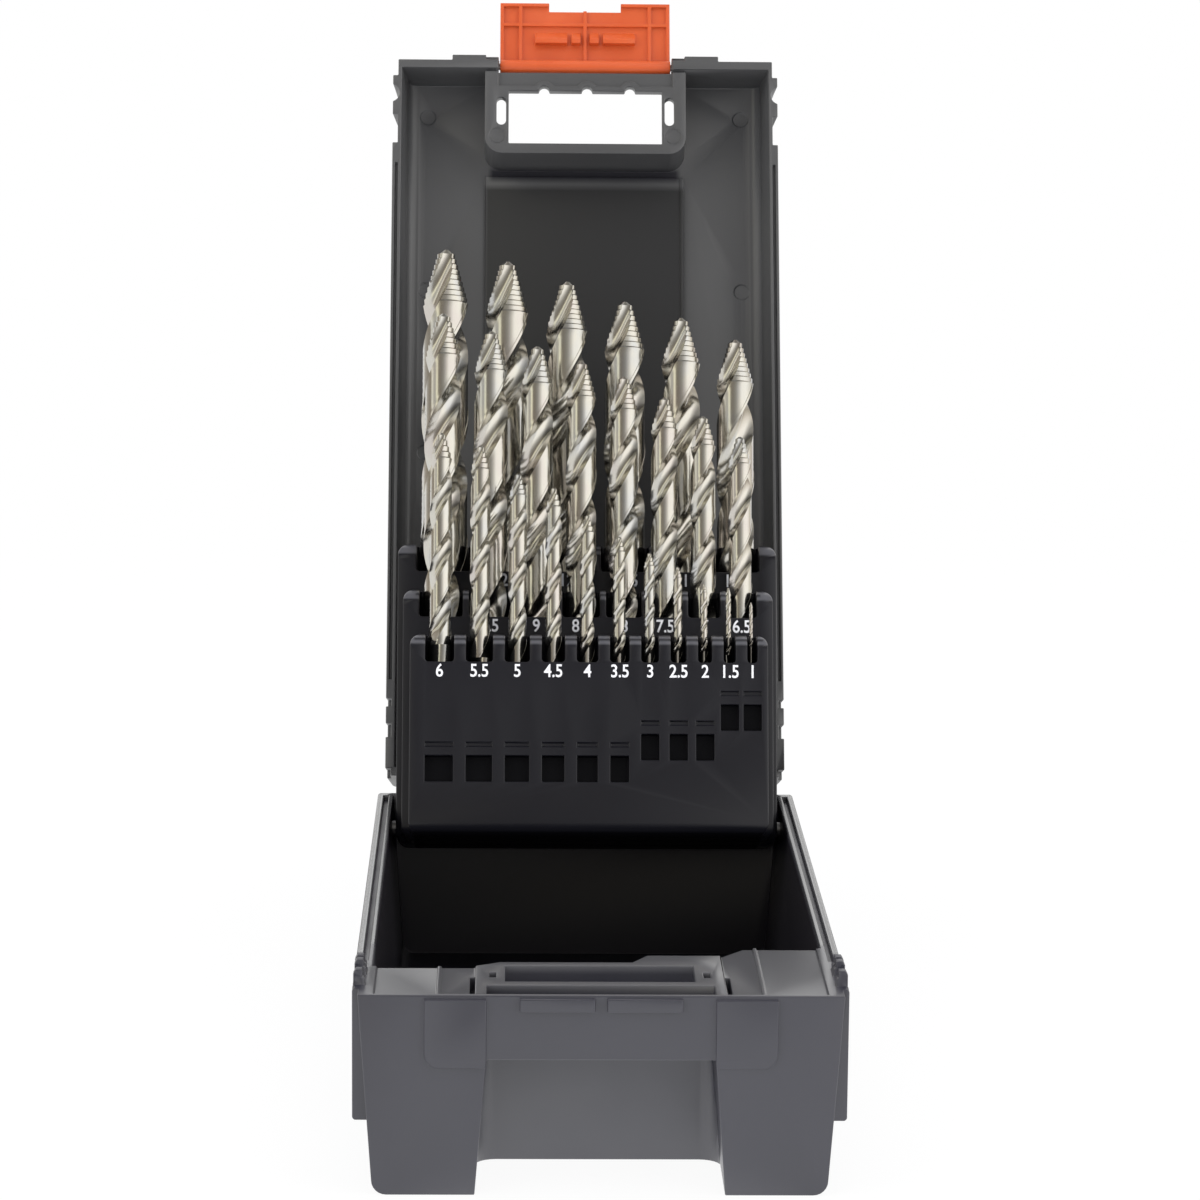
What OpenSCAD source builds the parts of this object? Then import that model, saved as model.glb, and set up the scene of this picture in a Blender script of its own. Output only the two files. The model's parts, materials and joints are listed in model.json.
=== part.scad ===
// Moulded case for twenty-five twist drills, shown open: the base tray lies flat, the lid leans back
// on its rear hinge, the latch flap is swung up and the three-tier drill rack stands raised.
// Frame: millimetres, +Z up, -Y towards the carry bar, origin at the centre of the flat underside.

/* [Base] */
// Length of the tray from its front face to its rear face
body_len = 208; // [204:1:212]
// Height of the tray from its underside to its rim
base_h = 46.8; // [46:0.1:50]
// Width of the tray's front face at the rim
body_top_w = 110.2; // [106:0.1:116]
// Width of the tray just above its rounded lower edges
body_low_w = 104; // [102:0.5:106]
// Radius of the tray's lower long edges
low_r = 3.4; // [2:0.2:5]
// Thickness of the tray's side and rear walls
wall = 2.7; // [2.4:0.1:2.8]
// Thickness of the tray's side walls just above their rounded lower edges
low_wall = 2.3; // [2:0.1:2.6]
// Thickness of the tray's floor
floor_t = 2.5; // [2:0.1:4]
// Amount by which each side skirt stands out beyond the rim
skirt_out = 1.4; // [0.9:0.1:2.2]
// Drop of the side skirts below the rim
skirt_h = 31; // [24:1:38]
// Distance of the skirts' front ends from the front face
skirt_gap = 6; // [5:0.5:8]
// Width of the long groove in each rim
groove_w = 1.3; // [0.8:0.1:1.4]
// Depth of the long groove in each rim
groove_deep = 1.4; // [0.6:0.1:3]
// Distance of the rim grooves from the tray's inner walls
groove_in = 1.1; // [0.6:0.1:1.3]
// Distances of the rim grooves' ends from the front and rear faces
groove_gap = [31, 3];

/* [Carry bar] */
// Height of the carry bar's U-shaped channel
bar_h = 15; // [13.6:0.1:17]
// Thickness of the bar's front plate
plate_t = 1.8; // [1.4:0.1:2.4]
// Distance from the front face to the far side of the channel
channel_y = 9.2; // [7:0.1:10]
// Thickness of the channel's floor
channel_t = 2; // [1.6:0.1:3]
// Distance from the front face to the finger hole
hole_y = 12.6; // [11.6:0.1:13.4]
// Length of the finger hole from front to back
hole_len = 13.8; // [12:0.2:14.2]
// Radius of the grip ribs in the finger hole
grip_r = 1; // [0.6:0.1:1.2]
// Places of the grip ribs across the bar
grip_x = [-11.7, 0.5, 12.7];
// Width of the finger hole
hole_w = 43.6; // [38:0.2:44.4]
// Depth of the notch under the bar, from the front face
notch_deep = 26.9; // [26.4:0.1:29]
// Width of the notch at its top
notch_top_w = 52; // [50:0.2:53]
// Width of the notch at the underside
notch_low_w = 57.2; // [55:0.2:58]
// Radius of the notch's rear corners
notch_r = 5; // [3:0.5:7]
// Outer edge of the raised pads beside the bar, from the middle
pad_x = 40; // [36:0.5:44]
// Height of the raised pads
pad_h = 16; // [12:0.5:20]
// Amount by which the pads stand proud
pad_t = 1; // [0.6:0.1:1.4]
// Drop of the pads' upper edges below the rim
pad_drop = 0.8; // [0.4:0.1:1.6]
// Radius of the pads' lower corners
pad_r = 3.4; // [2:0.2:5]
// Distance of the shelf's edge from the front face, in four steps from left to right
shelf_steps = [25.9, 29.7, 36, 43.2];
// Places across the tray, in pairs, between which the shelf's edge steps back
shelf_turns = [-29.2, -23, 7.7, 11.4, 28.5, 34];
// Depth of the lowered faces beside the shelf's raised ring
shelf_low = 0.5; // [0.3:0.1:0.8]
// Distance of the shelf's two upright ribs from the middle
shelf_rib_x = 36.9; // [34:0.1:39]
// Width of the shelf's upright ribs
shelf_rib_w = 0.9; // [0.6:0.1:1.4]
// Width, length and depth of the slots beside the shelf's ring
ring_slot = [1.2, 16, 4];
// Width, length and depth of the small sockets behind the channel's ends
socket = [1.6, 4.4, 5];
// Place of the small sockets: distance from the middle and from the front face
socket_at = [24.6, 18.4];
// Height of the clips on the rims
clip_h = 3.6; // [2.4:0.1:4.4]

/* [Lid] */
// Outer height of the lid
lid_h = 18; // [17.4:0.1:20]
// Setback of the lid's sides from the tray's rim
lid_set = 0.35; // [0.2:0.05:0.8]
// Slant of each side wall from the lid's rim to its top face
lid_draft = 1.6; // [1:0.1:2.4]
// Radius of the long edges of the lid's top face
lid_r = 4; // [2:0.5:5]
// Thickness of the lid's side and end walls
lid_wall = 2.4; // [2:0.1:2.6]
// Thickness of the lid's top
lid_top_t = 2.3; // [1.8:0.1:3]
// Gap between the rims of the closed case
rim_gap = 0.3; // [0.2:0.1:0.6]
// Width of the ring round the lid's finger hole, outside
ring_w = 57.2; // [54:0.2:58]
// Thickness of the ring's outer wall
ring_back = 2.6; // [2:0.1:3.4]
// Width of the ring's face behind the finger hole
ring_rim = 3; // [2.8:0.1:4]
// Amount by which the lid's finger hole starts ahead of the tray's
lid_hole_ahead = 3.4; // [2:0.1:4]
// Amount by which the lid's finger hole ends before the tray's
hole_set = 1.4; // [0.6:0.1:2]
// Width of the rim between the lid's finger hole and the lowered band along the bar
band_gap = 1.5; // [1:0.1:2]
// Depth of the lowered band along the bar
band_deep = 1.2; // [0.6:0.1:1.4]
// Thickness of the plate that joins the ring to the bar
ring_plate = 3; // [2.4:0.1:4]
// Length of the slots beside the lid's finger hole
oval_len = 8.3; // [6:0.1:9]
// Width of the slots beside the lid's finger hole
oval_w = 2.7; // [2:0.1:3]
// Width of the raised field in the lid
field_w = 56.6; // [50:0.2:60]
// Distance of the field from the lid's latch end
field_from = 30; // [30:0.5:40]
// Distance of the field from the lid's hinge end
field_to = 20; // [15:0.5:30]
// Amount by which the field stands up inside the lid
field_h = 1; // [0.6:0.1:1.4]
// Distances of the round marks inside the lid from its latch end
mark_y = [12, 64, 112, 160];
// Distance of the round marks from the lid's sides
mark_in = 9.8; // [8:0.1:14]
// Depth of the gaps in the lid's side flanges
flange_deep = 1.5; // [1:0.1:1.6]
// Angle by which the open lid leans back past upright
lid_lean = 23.7; // [15:0.1:30]

/* [Hinge] */
// Distance of the hinge axis behind the tray's rear face
hinge_back = 4; // [3.8:0.1:5]
// Radius of the hinge knuckles
knuckle_r = 3.1; // [2.8:0.1:3.3]
// Diameter of the hinge pins
hinge_pin_d = 2.4; // [2:0.1:2.8]
// Length of each hinge, over three knuckles
hinge_len = 22; // [16:1:28]
// Length of each hinge's two outer knuckles
end_knuckle = 4; // [3:0.5:5]
// Height of the web that joins each knuckle to its shell
web_h = 8; // [6:0.5:10]
// Distance of each hinge's middle from the tray's side
hinge_in = 19.1; // [17:0.1:25]

/* [Latch] */
// Width of the latch flap
latch_w = 48.6; // [46:0.2:49]
// Length of the flap below its axis when it is shut
latch_len = 20.4; // [18:0.2:24]
// Thickness of the flap's plate
latch_t = 1.3; // [1:0.1:1.8]
// Height of the ribs and border inside the flap
latch_rib = 0.9; // [0.5:0.1:1]
// Thickness of the ribs inside the flap
rib_t = 1; // [0.7:0.1:1.2]
// Distance of the flap's cross rib from its axis
cross_rib = 14.4; // [12:0.1:16]
// Height of the latch axis above the rims
latch_up = 4; // [3.8:0.1:5]
// Distance of the latch axis behind the front face
latch_in = 0.8; // [0.6:0.1:1.2]
// Radius of the latch's barrel
barrel_r = 2; // [1.8:0.1:2.2]
// Diameter of the latch pins
latch_pin_d = 2; // [1.6:0.1:2.2]
// Depth by which the catch ledges stand proud
ledge_t = 1.3; // [1:0.1:1.5]
// Height of the catch ledges
ledge_h = 3; // [2.4:0.1:3.6]
// Width of each catch ledge
ledge_w = 17; // [15:0.5:18]
// Distance of each catch ledge's middle from the middle of the bar
ledge_x = 9.9; // [9.4:0.1:10.6]
// Drop of the catch ledges below the rim
ledge_drop = 0.6; // [0.4:0.1:1]
// Distance from the middle and width of the large and the small hooks
hooks = [[9.7, 9.2], [2.6, 2.6]];
// Length of the ramp below each hook's tip
hook_ramp = 2.4; // [1.8:0.1:3]
// Height of each hook's tip
hook_tip = 1.4; // [0.8:0.1:1.8]
// Width and depth of the gap in the flap's free edge
flap_gap = [20.6, 2.3];
// Distance of the flap's outer upright ribs from the middle
upright_rib = 18.5; // [16:0.5:20]
// Diameter of the lugs' eyes that carry the latch pins
lug_d = 5.6; // [5:0.2:6]
// Width of each lug
lug_w = 3.6; // [3:0.1:4.2]
// Width, thickness and height of the raised pads beside the lugs
lug_pad = [9.6, 1.5, 12];
// Length by which each latch pin enters the flap
latch_pin_in = 2.7; // [2:0.1:3.4]
// Play between the hooks and the ledges
hook_play = 0.25; // [0.2:0.05:0.4]

/* [Rack] */
// Angle by which the raised rack leans back
rack_lean = 18; // [15:0.5:20]
// Distance of the rack's lower front edge in front of the hinge axis
rack_ahead = 54; // [53:0.5:56]
// Thicknesses of the front, middle and rear tiers
tier_t = [14, 14, 15];
// Heights of the front, middle and rear tiers
tier_h = [53.5, 67.3, 81.6];
// Gap between the rear tier and the tray's side walls
rack_side = 1.3; // [0.8:0.1:2]
// Amounts by which each tier is narrower at either side than the rear one
tier_in = [4, 1.8, 0];
// Margins between each tier's sides and its outer drills
row_margin = [4.2, 5.1, 5.6];
// Radius of the rack's upright corners
tier_r = 3.4; // [2:0.2:5]
// Radius along each tier's upper front edge
brow_r = 4.6; // [3:0.2:6]
// Distances of the drills' axes behind the three tiers' faces
row_in = [7, 7, 7.5];
// Total play of a drill in its bore
bore_play = 0.5; // [0.3:0.1:0.8]
// Height of the front slots below each tier's top
slot_h = 7.8; // [6:0.2:9]
// Amount by which a slot is wider than its drill
slot_play = 1.6; // [1.2:0.1:2]
// Height of the windows over the drill ends
window_h = 6.8; // [5:0.2:8]
// Amount by which a window is wider than its drill
window_play = 1.3; // [1:0.1:2]
// Depth of the windows
window_deep = 2.6; // [2:0.1:3.2]
// Height of the shut rack above the tray's underside
rack_low = 8; // [7.6:0.1:9]
// Distance of the shut rack's foot in front of the hinge axis
rack_foot = 16.5; // [16:0.1:18]
// Diameter of the rack's pivot pins
rack_pin_d = 4; // [3:0.1:4.4]
// Length by which a pivot pin enters the rack
rack_pin_in = 4.4; // [3:0.1:4.6]
// Thickness of the skirt outside each pivot pin
pin_skin = 1.2; // [0.8:0.1:1.4]

/* [Drills] */
// Helix pitch of the flutes as a multiple of the diameter
flute_pitch = 5.4; // [4.5:0.1:6.5]
// Length of the stepped tip as a multiple of the diameter
tip_len = 1.08; // [0.9:0.02:1.4]
// Height of each step of the tips
tip_step = 1.5; // [1.2:0.05:2]
// Diameter of the flutes' lands as a share of the shank's diameter
land_share = 0.985; // [0.97:0.005:0.99]

/* [Clearances] */
// Play round each pin in its bore
pin_play = 0.12; // [0.06:0.02:0.2]
// Gap beyond each pin's end in its bore
pin_end = 0.2; // [0.1:0.1:0.4]
// Gap between neighbouring knuckles and beside the latch
side_play = 0.4; // [0.3:0.05:0.6]

/* [Hidden] */
// One row per drill: diameter, total length, flute length, height of its seat above the rack's foot
FRONT_ROW = [
    [6, 93, 57, 14.8], [5.5, 93, 57, 11.4], [5, 86, 52, 10.9], [4.5, 80, 47, 13.2],
    [4, 75, 43, 10.9], [3.5, 70, 39, 10.1], [3, 61, 33, 14.8], [2.5, 57, 30, 15.1],
    [2, 49, 24, 18.6], [1.5, 40, 18, 26.6], [1, 34, 12, 28.7],
];
MIDDLE_ROW = [
    [10, 133, 87, 10], [9.5, 125, 81, 13.2], [9, 125, 81, 9.1], [8.5, 117, 75, 13],
    [8, 117, 75, 9], [7.5, 109, 69, 11.3], [7, 109, 69, 6.2], [6.5, 101, 63, 8.7],
];
REAR_ROW = [
    [13, 151, 101, 12.8], [12.5, 151, 101, 9.6], [12, 151, 101, 4.1], [11.5, 142, 94, 7.6],
    [11, 142, 94, 3.2], [10.5, 133, 87, 6.2],
];
ROWS = [FRONT_ROW, MIDDLE_ROW, REAR_ROW];
ROW_SHIFT = [0.6, 0, 0.2];
// Windows: least and greatest drill that a group holds, and the height of its lower edge
WINDOWS = [[3.5, 6, 14.1], [2, 3, 19.9], [1, 1.5, 27.8]];
WINDOW_LEAST_W = 4.7;
// Radius of the slots' lower corners
SLOT_R = 0.8;
// Shallow lines above the windows: height above them, height and depth
MARK_UP = 2.4;
MARK_H = 1.1;
MARK_DEEP = 0.6;
// Drop of the grip ribs below the bar's top, and the room round them in the lid's scallops
GRIP_DROP = 0.4;
GRIP_PLAY = 0.5;
// Radius and depth of the round marks left in the lid, and their place beside the finger hole
SPOT_R = 2.2;
SPOT_DEEP = 0.4;
SPOT_AT = [3.2, 13.5];
// Height of the bead along the lid's field
BEAD = 0.6;
// The outside recess over the field: how far inside its edges, and how deep
LABEL_IN = 3;
LABEL_DEEP = 0.8;
// Half a drill's cross-section: angle, radius as a share of the land's
FLUTE_FINE = [[-45, 1], [-15, 1], [15, 1], [45, 1], [66, 0.48], [104, 0.42]];
FLUTE_COARSE = [[-45, 1], [0, 1], [45, 1], [90, 0.42]];
FINE_FROM = 6.5;
SLICES_FINE = 10;
SLICES_COARSE = 8;
// Direction of the middle of a land at the foot of each tip
LAND_AT = -55;
LEAST_STEPS = 3;
// Share of a step's height taken by the slanted shoulder below it
SHOULDER = 0.14;
// Radius of the last step and of the flat point, and the web's thinning, all as shares
TIP_LEAST = 0.38;
POINT_FLAT = 0.3;
WEB_THIN = 0.35;
POINT_LEN = 0.1;
// Length over which the flutes run out, and by which the shank runs into them, in diameters
RUN_OUT = 0.8;
RUN_IN = 0.05;

$fn = 40;
EPS = 0.01;
OVER = 1;
// Chamfer along the skirts' edges
EDGE = 0.5;
// Steps in the arc of a rounded corner
TURN = 6;
SIDES = [-1, 1];
PLASTIC = [0.2, 0.2, 0.22];
ORANGE = [0.92, 0.4, 0.2];
STEEL = [0.75, 0.74, 0.7];

front_y = -body_len / 2;
rear_y = body_len / 2;
hinge_y = rear_y + hinge_back;
hinge_z = base_h;
lid_turn = 90 + lid_lean;
lid_low = base_h + rim_gap;
lid_top = base_h + lid_h;
latch_y = front_y + latch_in;
latch_z = base_h + latch_up;
bar_low = base_h - bar_h;
skirt_w = body_top_w + 2 * skirt_out;
lid_w = body_top_w - 2 * lid_set;
lid_top_w = lid_w - 2 * lid_draft;
hinge_x = body_top_w / 2 - hinge_in;
lid_hole_y = front_y + hole_y - lid_hole_ahead;
lid_hole_end = front_y + hole_y + hole_len - hole_set;
ring_end = lid_hole_end + ring_rim;
// Gaps in the lid's side flanges near its latch end, from the front face: two straight ones
// with a round one between them, and where the rims' clips stand in them
FLANGE_GAPS = [[-1, 4.8], [16.6, 25]];
ROUND_GAP = [10.1, 2.6, 0.7];
// The same near its hinge end, as distances ahead of the hinge axis, and their height
REAR_GAPS = [[6, -1], [18.6, 14.8], [25.6, 23.4]];
REAR_GAP_H = 4;
CLIPS = [[8.7, 11.5], [17.4, 20.2], [21.4, 24.2]];
cavity_w = body_top_w - 2 * wall;
cavity_low_w = body_low_w - 2 * low_wall;
tier_w = [for (n = tier_in) cavity_w - 2 * (rack_side + n)];
rack_turn = 90 + rack_lean;
rack_y = hinge_y - rack_ahead;
rack_z = base_h;
// The pivot is the point about which the rack's lower front edge swings from raised to shut.
chord = [hinge_y - rack_foot - rack_y, rack_low - rack_z];
half_cot = 0.5 / tan(rack_turn / 2);
pivot_y = rack_y + chord[0] / 2 - chord[1] * half_cot;
pivot_z = rack_z + chord[1] / 2 + chord[0] * half_cot;
// The pivot seen from the rack's lower front edge: depth and height in the rack's own frame
pivot_t = pivot_z - rack_low;
pivot_s = hinge_y - rack_foot - pivot_y;

function arc(c, r, from, to, n) = [
    for (i = [0:n]) c + r * [cos(from + (to - from) * i / n), sin(from + (to - from) * i / n)]
];
function wide_at(z) = body_low_w + (body_top_w - body_low_w) * (z - low_r) / (base_h - low_r);
function row_gap(r) =
    (tier_w[r] - 2 * row_margin[r] - sum_d(ROWS[r], len(ROWS[r]))) / (len(ROWS[r]) - 1);
function face_of(r) = r == 0 ? 0 : face_of(r - 1) + tier_t[r - 1];
function sum_d(row, n) = n == 0 ? 0 : row[n - 1][0] + sum_d(row, n - 1);
function drill_x(r, i) =
    ROW_SHIFT[r] - tier_w[r] / 2 + row_margin[r]
    + sum_d(ROWS[r], i) + i * row_gap(r) + ROWS[r][i][0] / 2;
function drill_t(r) = face_of(r) + row_in[r];
function window_low(d) = [for (w = WINDOWS) if (d >= w[0] && d <= w[1]) w[2]][0];

// Lays a drawing made in X and Z along Y, from one distance to another.
module along_y(from, to) {
    translate([0, to, 0])
        rotate([90, 0, 0])
            linear_extrude(to - from)
                children();
}

// Lays a drawing made in Y and Z along X, from one distance to another.
module along_x(from, to) {
    translate([from, 0, 0])
        rotate([90, 0, 90])
            linear_extrude(to - from)
                children();
}

// A round bar along X.
module rod(d, from, to) {
    translate([from, 0, 0])
        rotate([0, 90, 0])
            cylinder(d = d, h = to - from);
}

// ---------- base ----------

module tray_outline(top_w, low_w, low_z, r) {
    half = low_w / 2;
    polygon(concat(
        [[-top_w / 2, base_h]],
        arc([-half + r, low_z + r], r, 180, 270, TURN),
        arc([half - r, low_z + r], r, 270, 360, TURN),
        [[top_w / 2, base_h]]
    ));
}

// The tray's plan: its front edge steps back towards the right, following the drills' tips.
module cavity_plan() {
    far = skirt_w;
    polygon(concat(
        [[-far, front_y + shelf_steps[0]]],
        [for (i = [0:5]) [shelf_turns[i], front_y + shelf_steps[ceil(i / 2)]]],
        [[far, front_y + shelf_steps[3]], [far, rear_y - wall], [-far, rear_y - wall]]
    ));
}

module tray_cavity() {
    intersection() {
        along_y(front_y, rear_y)
            polygon(concat(
                [[-cavity_w / 2, base_h + OVER]],
                [[-cavity_w / 2, base_h]],
                arc([-cavity_low_w / 2 + low_r, floor_t + low_r], low_r, 180, 270, TURN),
                arc([cavity_low_w / 2 - low_r, floor_t + low_r], low_r, 270, 360, TURN),
                [[cavity_w / 2, base_h]],
                [[cavity_w / 2, base_h + OVER]]
            ));
        translate([0, 0, floor_t - OVER])
            linear_extrude(base_h + 2 * OVER)
                cavity_plan();
    }
}

module skirts() {
    skirt_low = base_h - skirt_h;
    for (s = SIDES)
        along_y(front_y + skirt_gap, rear_y)
            polygon([
                [s * (wide_at(skirt_low) / 2 - OVER), skirt_low],
                [s * (skirt_w / 2 - EDGE), skirt_low],
                [s * skirt_w / 2, skirt_low + EDGE],
                [s * skirt_w / 2, base_h - EDGE],
                [s * (skirt_w / 2 - EDGE), base_h],
                [s * (body_top_w / 2 - OVER), base_h],
            ]);
}

module rim_grooves() {
    from = front_y + groove_gap[0];
    to = rear_y - groove_gap[1];
    for (s = SIDES)
        translate([s * (cavity_w / 2 + groove_in + groove_w / 2), (from + to) / 2, base_h])
            cube([groove_w, to - from, 2 * groove_deep], center = true);
}

// The notch below the bar: drafted sides, rounded rear corners.
module notch() {
    back = front_y + notch_deep;
    intersection() {
        along_y(front_y - 3 * OVER, back)
            polygon([
                [-notch_low_w / 2, -OVER], [notch_low_w / 2, -OVER],
                [notch_top_w / 2, bar_low], [-notch_top_w / 2, bar_low],
            ]);
        translate([0, 0, -2 * OVER])
            linear_extrude(bar_low + 4 * OVER)
                polygon(concat(
                    [[-notch_low_w / 2, front_y - 3 * OVER], [notch_low_w / 2, front_y - 3 * OVER]],
                    arc([notch_low_w / 2 - notch_r, back - notch_r], notch_r, 0, 90, TURN),
                    arc([-notch_low_w / 2 + notch_r, back - notch_r], notch_r, 90, 180, TURN)
                ));
    }
}

module finger_hole() {
    translate([-hole_w / 2, front_y + hole_y, bar_low - OVER])
        cube([hole_w, hole_len, bar_h + 2 * OVER]);
}

module bar_channel() {
    translate([-notch_top_w / 2, front_y + plate_t, bar_low + channel_t])
        cube([notch_top_w, channel_y - plate_t, bar_h]);
}

// Narrow slots and small square sockets in the shelf beside the finger hole.
module shelf_slots() {
    for (s = SIDES) {
        translate([s * (ring_w + ring_slot[0]) / 2, front_y + plate_t + ring_slot[1] / 2, base_h])
            cube([ring_slot[0], ring_slot[1], 2 * ring_slot[2]], center = true);
        translate([s * socket_at[0], front_y + socket_at[1], base_h])
            cube([socket[0], socket[1], 2 * socket[2]], center = true);
    }
}

module pad(s) {
    low = base_h - pad_drop - pad_h;
    mirror([s < 0 ? 1 : 0, 0, 0])
        along_y(front_y - pad_t, front_y + EPS)
            polygon(concat(
                [[notch_top_w / 2, base_h - pad_drop], [notch_top_w / 2, low]],
                arc([pad_x - pad_r, low + pad_r], pad_r, 270, 360, TURN),
                [[pad_x, base_h - pad_drop]]
            ));
}

module ledges() {
    for (s = SIDES)
        translate([s * ledge_x, front_y - ledge_t / 2 + EPS / 2, base_h - ledge_drop - ledge_h / 2])
            cube([ledge_w, ledge_t + EPS, ledge_h], center = true);
}

// Upright grip ribs on the bar's rear face.
module grip_ribs() {
    for (x = grip_x)
        translate([x, front_y + hole_y, bar_low])
            cylinder(r = grip_r, h = bar_h - GRIP_DROP);
}

// Lowered faces of the shelf outside the ring, with an upright rib left between two of them.
module shelf_lows() {
    for (s = SIDES) {
        depth = s < 0 ? shelf_steps[0] : shelf_steps[3];
        rib = shelf_rib_w / 2;
        for (x = [[ring_w / 2, shelf_rib_x - rib], [shelf_rib_x + rib, cavity_w / 2 - OVER]])
            translate([s > 0 ? x[0] : -x[1], front_y + plate_t, base_h - shelf_low])
                cube([x[1] - x[0], depth - plate_t + OVER, shelf_low + OVER]);
    }
}

// Clips that stand in the gaps of the shut lid's side flanges, hooked at the top.
module rim_clips() {
    inner = lid_w / 2 - flange_deep + side_play;
    outer = skirt_w / 2 - side_play / 2;
    hook = inner + EDGE;
    foot = base_h - 2 * EDGE;
    for (s = SIDES) {
        for (c = CLIPS)
            along_y(front_y + c[0], front_y + c[1])
                polygon([
                    [s * inner, base_h - EPS], [s * outer, foot],
                    [s * outer, base_h + clip_h - 2 * EDGE], [s * (outer - EDGE), base_h + clip_h],
                    [s * hook, base_h + clip_h], [s * hook, base_h + clip_h * 0.6],
                    [s * inner, base_h + clip_h * 0.5],
                ]);
        along_y(front_y + CLIPS[1][0], front_y + CLIPS[2][1])
            polygon([
                [s * inner, base_h - EPS], [s * outer, foot],
                [s * outer, base_h + 2 * EDGE], [s * inner, base_h + 2 * EDGE],
            ]);
    }
}

module base_knuckles() {
    for (s = SIDES)
        for (e = SIDES)
            translate([s * hinge_x + e * (hinge_len - end_knuckle) / 2, 0, 0])
                knuckle(end_knuckle - side_play, -1);
}

// One hinge knuckle centred on X, with its web running forward, below or above the rims' plane.
module knuckle(length, way) {
    translate([0, hinge_y, hinge_z])
        rod(2 * knuckle_r, -length / 2, length / 2);
    along_x(-length / 2, length / 2)
        polygon([
            [rear_y - EPS, hinge_z + way * rim_gap], [rear_y - EPS, hinge_z + way * web_h],
            [hinge_y - knuckle_r / 2, hinge_z + way * (web_h + knuckle_r) / 2],
            [hinge_y, hinge_z + way * knuckle_r], [hinge_y, hinge_z + way * rim_gap],
        ]);
}

module hinge_bores() {
    for (s = SIDES)
        translate([s * hinge_x, hinge_y, hinge_z])
            rod(hinge_pin_d + pin_play, -hinge_len / 2 - OVER, hinge_len / 2 + OVER);
}

module rack_pin_bores() {
    for (s = SIDES)
        translate([0, pivot_y, pivot_z])
            mirror([s < 0 ? 1 : 0, 0, 0])
                rod(rack_pin_d + pin_play, tier_w[2] / 2 - rack_pin_in - pin_end,
                    skirt_w / 2 - pin_skin);
}

module base_shell() {
    color(PLASTIC)
        difference() {
            union() {
                along_y(front_y, rear_y)
                    tray_outline(body_top_w, body_low_w, 0, low_r);
                skirts();
                for (s = SIDES)
                    pad(s);
                ledges();
                base_knuckles();
                rim_clips();
            }
            tray_cavity();
            rim_grooves();
            notch();
            difference() {
                finger_hole();
                grip_ribs();
            }
            bar_channel();
            shelf_slots();
            shelf_lows();
            hinge_bores();
            rack_pin_bores();
        }
}

// ---------- lid, drawn shut and then swung open ----------

module swing_lid() {
    translate([0, hinge_y, hinge_z])
        rotate([-lid_turn, 0, 0])
            translate([0, -hinge_y, -hinge_z])
                children();
}

module lid_outline(rim_w, top_w, low, top, r) {
    polygon(concat(
        [[-rim_w / 2, low], [rim_w / 2, low]],
        arc([top_w / 2 - r, top - r], r, 0, 90, TURN),
        arc([-top_w / 2 + r, top - r], r, 90, 180, TURN)
    ));
}

module lid_body() {
    along_y(front_y, rear_y)
        lid_outline(lid_w, lid_top_w, lid_low, lid_top, lid_r);
}

module lid_cavity() {
    along_y(front_y + lid_wall, rear_y - lid_wall)
        lid_outline(lid_w - 2 * lid_wall, lid_top_w - 2 * lid_wall, lid_low - OVER,
            lid_top - lid_top_t, lid_r - OVER);
}

// A plan with rounded rear corners round the finger hole, as wide and as long as asked.
module ring_plan(half, from, end, r) {
    polygon(concat(
        [[-half, from], [half, from]],
        arc([half - r, end - r], r, 0, 90, TURN),
        arc([-half + r, end - r], r, 90, 180, TURN)
    ));
}

// The ring round the finger hole, as deep as the lid.
module lid_ring() {
    translate([0, 0, lid_low])
        linear_extrude(lid_top - lid_low - OVER)
            ring_plan(ring_w / 2, front_y + lid_wall + OVER, ring_end, notch_r);
}

// The recess in the lid's outer face, inside the ring's wall and behind its plate.
module lid_notch() {
    translate([0, 0, lid_low + ring_plate])
        linear_extrude(lid_h)
            ring_plan(ring_w / 2 - ring_back, front_y - 2 * pad_t - OVER, ring_end - ring_back,
                notch_r - ring_back / 2);
}

module lid_finger_hole() {
    translate([-hole_w / 2, lid_hole_y, lid_low - OVER])
        cube([hole_w, lid_hole_end - lid_hole_y, ring_plate + 2 * OVER]);
    for (x = grip_x)
        translate([x, lid_hole_y, lid_low - OVER])
            cylinder(r = grip_r + GRIP_PLAY, h = ring_plate + 2 * OVER);
}

// Slots and round marks in the ring's plate, and the lowered band along the bar.
module ring_pockets() {
    oval_x = (hole_w / 2 + ring_w / 2 - ring_back) / 2;
    oval_y = lid_hole_y + (oval_w + band_gap) / 2 + band_deep;
    for (s = SIDES) {
        for (y = [0, oval_len - oval_w])
            translate([s * oval_x, oval_y + y, lid_low - OVER])
                cylinder(d = oval_w, h = ring_plate + 2 * OVER);
        translate([s * oval_x - oval_w / 2, oval_y, lid_low - OVER])
            cube([oval_w, oval_len - oval_w, ring_plate + 2 * OVER]);
        translate([s * (hole_w / 2 + SPOT_AT[0]), lid_hole_y + SPOT_AT[1], lid_low - OVER])
            cylinder(r = SPOT_R, h = OVER + SPOT_DEEP);
    }
    difference() {
        translate([-hole_w / 2 - 2 * band_gap, front_y, lid_low - OVER])
            cube([hole_w + 4 * band_gap, lid_hole_y - front_y - band_gap, OVER + band_deep]);
        for (x = grip_x)
            translate([x, lid_hole_y, lid_low - 2 * OVER])
                cylinder(r = grip_r + GRIP_PLAY + band_gap, h = 4 * OVER);
    }
}

// The raised field inside the lid and the shallow label recess outside it.
module field(inset, low, high) {
    translate([-field_w / 2 + inset, front_y + field_from + inset, low])
        cube([field_w - 2 * inset, body_len - field_from - field_to - 2 * inset, high - low]);
}

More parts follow.
